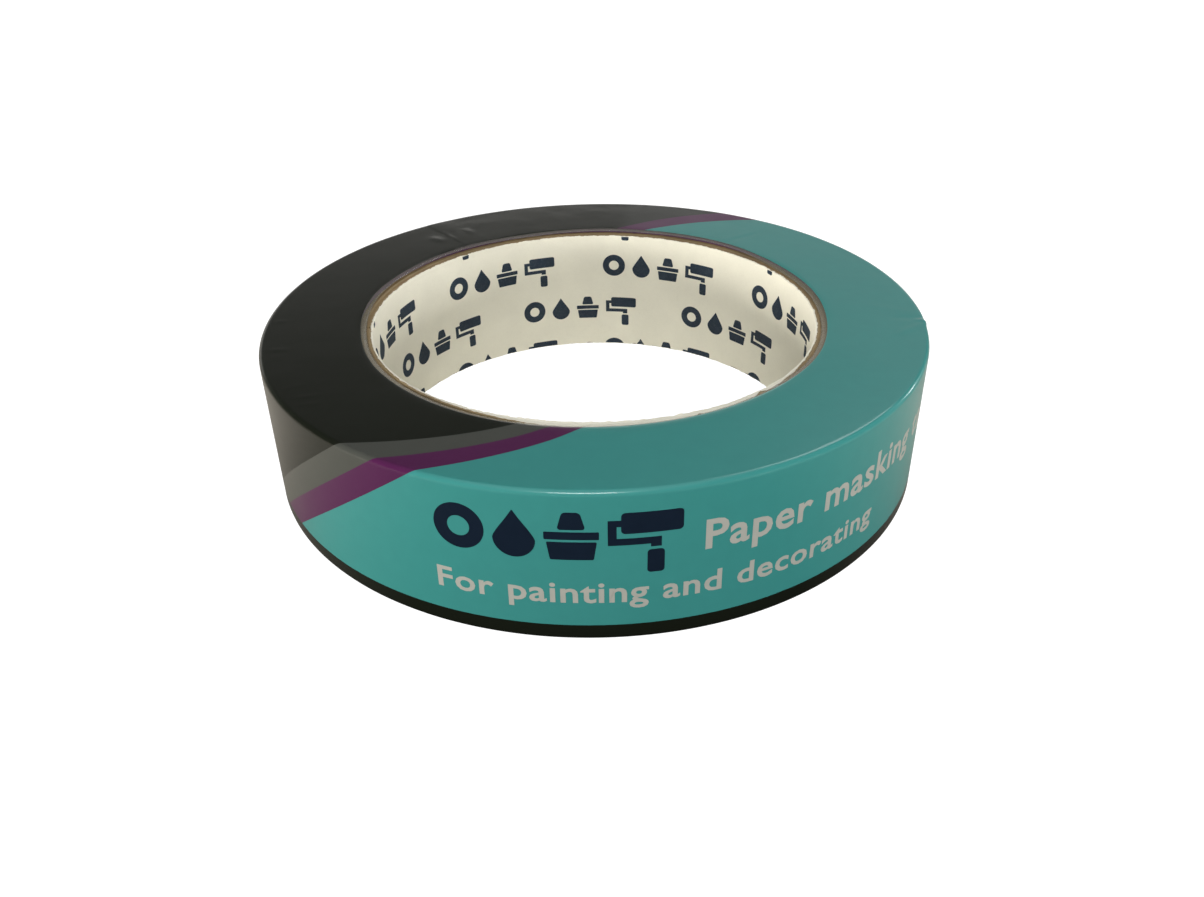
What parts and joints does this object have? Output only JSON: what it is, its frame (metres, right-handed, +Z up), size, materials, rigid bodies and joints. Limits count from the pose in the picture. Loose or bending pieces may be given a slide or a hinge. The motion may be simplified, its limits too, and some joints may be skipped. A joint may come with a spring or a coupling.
{
  "type": "masking tape roll",
  "caption": "Wide-bore roll of thin paper masking tape on a paperboard core, sealed in printed heat-shrunk film, for masking edges before painting.",
  "frame": {"origin": "centre of the bore, on the plane the roll's lower face rests on", "axes": "+Z up along the roll's axis, -Y towards the front of the label, +X to the right of someone reading it"},
  "size_m": [0.113, 0.113, 0.0252],
  "materials": {
    "printed_film": "gloss",
    "tape_paper": "matte",
    "white_liner": "matte",
    "core_board": "matte"
  },
  "bodies": {
    "root": {"shrink_film": "printed_film", "wound_tape": "tape_paper", "core_inner_liner": "white_liner", "core_ply_1": "core_board", "core_ply_2": "core_board", "core_ply_3": "core_board", "core_ply_4": "core_board", "core_outer_ply": "core_board"}
  },
  "joints": []
}
